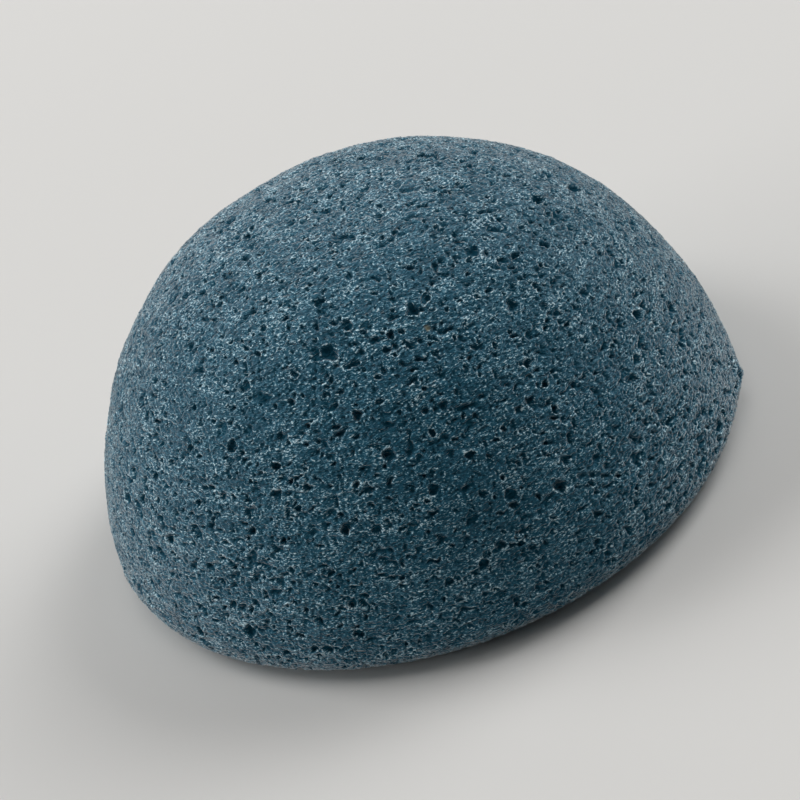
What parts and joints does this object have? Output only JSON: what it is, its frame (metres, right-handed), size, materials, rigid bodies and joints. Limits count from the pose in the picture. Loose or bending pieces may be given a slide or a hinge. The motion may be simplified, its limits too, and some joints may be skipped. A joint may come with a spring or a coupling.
{
  "type": "konjac sponge",
  "caption": "Half-ball facial sponge of open-pored konjac foam with a fine-celled dome, a soft round edge and a flat back.",
  "frame": {"origin": "middle of the flat back, on the plane that it rests on", "axes": "+Z from the flat back up through the crown of the dome; the dome is round about Z, so X and Y are free"},
  "size_m": [0.08, 0.08, 0.038],
  "materials": {
    "dome_skin": "matte fine-celled foam, slate blue",
    "back_skin": "matte fine-celled foam, slate blue",
    "foam_core": "matte open-celled foam, deep slate blue"
  },
  "bodies": {
    "root": {"dome_skin": "dome_skin", "back_skin": "back_skin", "foam_core": "foam_core"}
  },
  "joints": []
}
